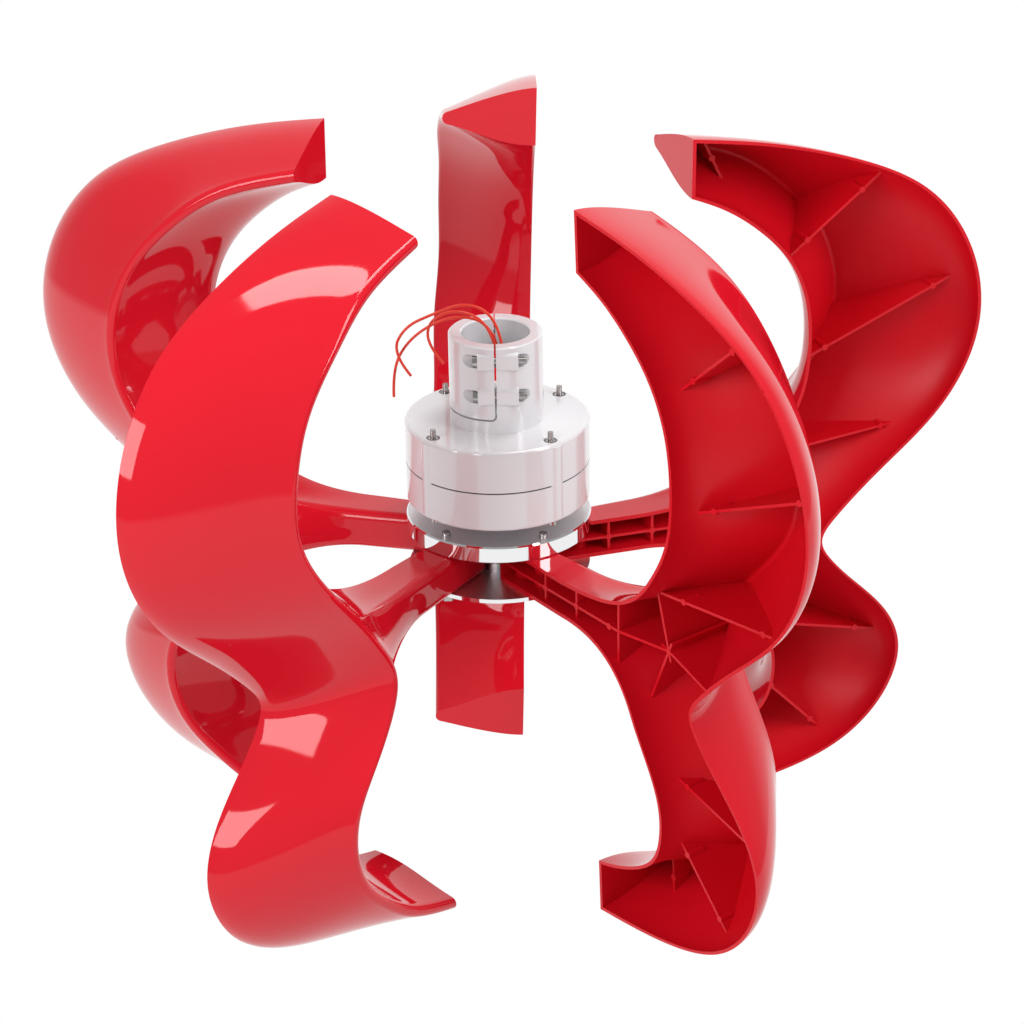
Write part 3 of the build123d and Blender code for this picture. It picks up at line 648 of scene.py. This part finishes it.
# ---------------------------------------------------------------- pieces
def build_blades():
    arm_middle = (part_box("hub_flange")[0].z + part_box("hub_lower_disc")[1].z) / 2
    moulding = moulding_mesh()
    for index in range(BLADES):
        turn = radians(BLADE_ANGLE + 360 / BLADES * index)
        mesh = moulding.copy()
        mesh.transform(Matrix.Translation((0, 0, arm_middle)) @ Matrix.Rotation(turn, 4, "Z"))
        blade = bpy.data.objects.new(f"blade_moulding_{index + 1}", mesh)
        bpy.context.collection.objects.link(blade)
        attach(blade, "rotor")
        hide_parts(f"blade_{index + 1}")


# threads, millimetres
THREAD_SIDES = 24
STUD_CIRCLE_R = 58.8
STUD_ANGLES = (39.3, 129.3, 219.3, 309.3)
STUD_R = 2.0
STUD_TOP = 6.4
STUD_PITCH = 0.7
STUD_START = -0.2
CLAMP_SCREW_R = 2.5
CLAMP_SCREW_PITCH = 0.8
CLAMP_SCREW_Y = 29.0
CLAMP_SCREW_HEIGHTS = (27.6, 54.3)
CLAMP_SCREW_ENDS = (15.7, 21.3)
ARM_BOLT_R = 3.0
ARM_BOLT_PITCH = 1.0
ARM_BOLT_TOP = -69.8
FLANGE_H = 12.6
SHAFT_THREAD_R = 6.0
SHAFT_PITCH = 1.0
SHAFT_CHAMFER = 0.6
CREST, ROOT = 0.13, 0.2     # of the pitch, outside and inside the shank's radius


def thread(name, start, along, length, radius, pitch, body):
    """Ridges of a screw thread, proud of the plain shank that the CAD part has."""
    start, along = Vector(start), Vector(along).normalized()
    across = along.orthogonal().normalized()
    other = along.cross(across)
    proud, sunk = CREST * pitch, ROOT * pitch
    rings = 2 * int(length / pitch) + 1
    points, faces = [], []
    for ring in range(rings):
        ring_r = radius + (proud if ring % 2 else -sunk)
        for side in range(THREAD_SIDES):
            turn = tau * side / THREAD_SIDES
            rise = along * (pitch * (ring / 2 + side / THREAD_SIDES * (0 < ring < rings - 1)))
            place = start + rise + (across * cos(turn) + other * sin(turn)) * ring_r
            points.append(tuple(place * MM))
    for ring in range(rings - 1):
        for side in range(THREAD_SIDES):
            a = ring * THREAD_SIDES + side
            b = ring * THREAD_SIDES + (side + 1) % THREAD_SIDES
            faces.append((a, b, b + THREAD_SIDES, a + THREAD_SIDES))
    mesh = bpy.data.meshes.new(name)
    mesh.from_pydata(points, [], faces)
    mesh.materials.append(NODES["housing_nuts"].data.materials[0])
    piece = bpy.data.objects.new(name, mesh)
    bpy.context.collection.objects.link(piece)
    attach(piece, body)


def polar(radius, angle, offset=0.0):
    """Point at a radius in a direction about the axis, moved forward square to the radius."""
    turn = radians(angle)
    return radius * cos(turn) - offset * sin(turn), radius * sin(turn) + offset * cos(turn)


def build_threads():
    for index, angle in enumerate(STUD_ANGLES):
        thread(f"stud_thread_{index + 1}", (*polar(STUD_CIRCLE_R, angle), STUD_START), (0, 0, 1),
               STUD_TOP, STUD_R, STUD_PITCH, "generator")
    start, end = CLAMP_SCREW_ENDS
    for index, height in enumerate(CLAMP_SCREW_HEIGHTS):
        for side, name in ((-1, "front"), (1, "back")):
            thread(f"clamp_thread_{name}_{index + 1}", (start, side * CLAMP_SCREW_Y, height), (1, 0, 0),
                   end - start, CLAMP_SCREW_R, CLAMP_SCREW_PITCH, "clamp")
    flange_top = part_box("hub_spacer")[1].z / MM + FLANGE_H
    for index in range(BLADES):
        place = polar(ARM_BOLT_RADII[1], BLADE_ANGLE + 360 / BLADES * index, ARM_BOLT_T)
        thread(f"arm_bolt_thread_{index + 1}", (*place, flange_top), (0, 0, 1),
               ARM_BOLT_TOP - flange_top, ARM_BOLT_R, ARM_BOLT_PITCH, "rotor")
    nut_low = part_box("shaft_nut")[0].z / MM
    thread_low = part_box("shaft")[0].z / MM + SHAFT_CHAMFER
    thread("shaft_thread", (0, 0, thread_low), (0, 0, 1), nut_low - thread_low,
           SHAFT_THREAD_R, SHAFT_PITCH, "rotor")


# painted shadow in the seam between the castings, millimetres
SEAM_Z = -31.5
SEAM_HALF_GAP = 0.5
SEAM_RADII = (63.4, 65.7)
SEAM_SIDES = 128


def build_seam_shadow():
    """Black ring that paints the shadow in the gap between the castings as a dark line; it is buried where
    they touch.
    """
    inner, outer = SEAM_RADII
    low, high = -SEAM_HALF_GAP, SEAM_HALF_GAP
    section = ((inner, low), (outer, low), (outer, high), (inner, high))
    points, faces = [], []
    for side in range(SEAM_SIDES):
        for radius, rise in section:
            points.append(tuple(Vector((*polar(radius, 360 * side / SEAM_SIDES), SEAM_Z + rise)) * MM))
        for corner in range(4):
            here = 4 * side
            there = 4 * ((side + 1) % SEAM_SIDES)
            across = (corner + 1) % 4
            faces.append((here + corner, there + corner, there + across, here + across))
    # the black ring is painted shade: a dark sheet where the seam has only shadow
    mesh = bpy.data.meshes.new("seam_shadow_ring")
    mesh.from_pydata(points, [], faces)
    mesh.materials.append(NODES["housing_gasket"].data.materials[0])
    shadow_ring = bpy.data.objects.new("seam_shadow_ring", mesh)
    bpy.context.collection.objects.link(shadow_ring)
    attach(shadow_ring, "generator")


# routes of the three loose leads in metres, from the grommet to their bare ends, with their lengths
LEADS = (
    (0.192, ((0.0066, -0.0209, 0.001), (0.0066, -0.0209, 0.028), (0.0058, -0.0204, 0.060),
             (-0.002, -0.0165, 0.085), (-0.021, -0.0115, 0.092), (-0.043, -0.009, 0.083),
             (-0.064, -0.009, 0.0735), (-0.0735, -0.0095, 0.054), (-0.0605, -0.009, 0.036))),
    (0.159, ((0.0044, -0.0209, 0.001), (0.0044, -0.0209, 0.028), (0.0014, -0.0216, 0.060),
             (-0.009, -0.021, 0.084), (-0.030, -0.0205, 0.0905), (-0.047, -0.019, 0.081),
             (-0.048, -0.0185, 0.063), (-0.0368, -0.018, 0.0485))),
    (0.185, ((0.0055, -0.019, 0.001), (0.0055, -0.019, 0.028), (0.0028, -0.0176, 0.058),
             (-0.006, -0.0145, 0.077), (-0.022, -0.009, 0.081), (-0.042, -0.005, 0.0755),
             (-0.062, -0.004, 0.061), (-0.0735, -0.004, 0.040), (-0.0733, -0.004, 0.018))),
)
LEAD_DIAMETER = 0.002


def build_leads():
    sleeve = silicone()
    for index, (length, route) in enumerate(LEADS):
        curve = bpy.data.curves.new(f"lead_{index + 1}", "CURVE")
        curve.dimensions = "3D"
        curve.bevel_depth = LEAD_DIAMETER / 2
        curve.bevel_resolution = 5
        curve.use_fill_caps = True
        curve.resolution_u = 16
        spline = curve.splines.new("NURBS")
        spline.points.add(len(route) - 1)
        for point, place in zip(spline.points, route):
            point.co = (*place, 1)
        spline.order_u = 3
        spline.use_endpoint_u = True
        curve.materials.append(sleeve)
        lead = bpy.data.objects.new(f"lead_{index + 1}", curve)
        bpy.context.collection.objects.link(lead)
        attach(lead, "generator")
        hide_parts(f"wire_{index + 1}")


# ---------------------------------------------------------------- camera, world and lights
def build_camera():
    target = Vector((0, 0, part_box("hub_flange")[0].z + FLANGE_H * MM))
    elevation, distance, roll = radians(25.26), 2.1995, radians(-1.13)
    camera_data = bpy.data.cameras.new("camera")
    camera_data.lens = 106.3
    camera_data.sensor_width = 36
    camera_data.shift_x = 0.0128
    camera_data.shift_y = -0.0043
    camera = bpy.data.objects.new("camera", camera_data)
    camera.matrix_world = (Matrix.Translation(target) @ Matrix.Rotation(pi / 2 - elevation, 4, "X")
                           @ Matrix.Rotation(roll, 4, "Z") @ Matrix.Translation((0, 0, distance)))
    bpy.context.collection.objects.link(camera)
    bpy.context.scene.camera = camera


# azimuth, elevation, width, height, power and the point that each softbox faces
SOFTBOXES = {
    "key": (-40.5, 29, 1.46, 1.02, 36, (-0.16, -0.21, -0.16)),
    "side": (64, 36, 0.50, 2.00, 30, (-0.115, -0.215, 0.14)),
    "top": (126, 68, 0.62, 1.10, 22, (-0.09, -0.165, 0.172)),
}
SOFTBOX_DISTANCE = 2.2


def softbox(name, azimuth, elevation, width, height, power, aim):
    """Rectangular area light; azimuth 0 is in front, and it turns towards +X."""
    light = bpy.data.lights.new(name, "AREA")
    light.shape = "RECTANGLE"
    light.size = width
    light.size_y = height
    light.energy = power
    lamp = bpy.data.objects.new(name, light)
    a, e = radians(azimuth), radians(elevation)
    away = Vector((sin(a) * cos(e), -cos(a) * cos(e), sin(e)))
    lamp.location = Vector(aim) + away * SOFTBOX_DISTANCE
    lamp.rotation_euler = away.to_track_quat("Z", "Y").to_euler()
    lamp.visible_camera = False
    bpy.context.collection.objects.link(lamp)


def build_world():
    """Studio round the turbine: white floor and backdrop, a dimmer room in front of it and above."""
    room, white = 0.38, 1.0
    world = bpy.data.worlds.new("world")
    bpy.context.scene.world = world
    world.use_nodes = True
    tree = world.node_tree

    def node(kind, **inputs):
        made = tree.nodes.new(kind)
        for name, value in inputs.items():
            made.inputs[name.replace("_", " ")].default_value = value
        return made

    def band(source, start, end):
        """Rises from 0 to 1 between two values of a direction's component."""
        made = node("ShaderNodeMapRange", From_Min=start, From_Max=end)
        tree.links.new(source, made.inputs["Value"])
        return made.outputs["Result"]

    def combine(operation, first, second):
        made = tree.nodes.new("ShaderNodeMath")
        made.operation = operation
        tree.links.new(first, made.inputs[0])
        tree.links.new(second, made.inputs[1])
        return made.outputs[0]

    direction = tree.nodes.new("ShaderNodeSeparateXYZ")
    tree.links.new(tree.nodes.new("ShaderNodeTexCoord").outputs["Generated"], direction.inputs[0])
    floor = band(direction.outputs["Z"], -0.20, -0.25)
    backdrop = combine("MULTIPLY", band(direction.outputs["Y"], 0.5, 0.8),
                       band(direction.outputs["Z"], 0.75, 0.45))
    strength = node("ShaderNodeMapRange", To_Min=room, To_Max=white)
    tree.links.new(combine("MAXIMUM", floor, backdrop), strength.inputs["Value"])
    background = tree.nodes["Background"]
    background.inputs["Color"].default_value = (1, 1, 1, 1)
    tree.links.new(strength.outputs["Result"], background.inputs["Strength"])


def build_lights():
    bpy.context.scene.view_settings.view_transform = "Standard"
    for name, numbers in SOFTBOXES.items():
        softbox(name, *numbers)


paint_cad_nodes()
build_blades()
build_threads()
build_seam_shadow()
build_leads()
build_camera()
build_world()
build_lights()
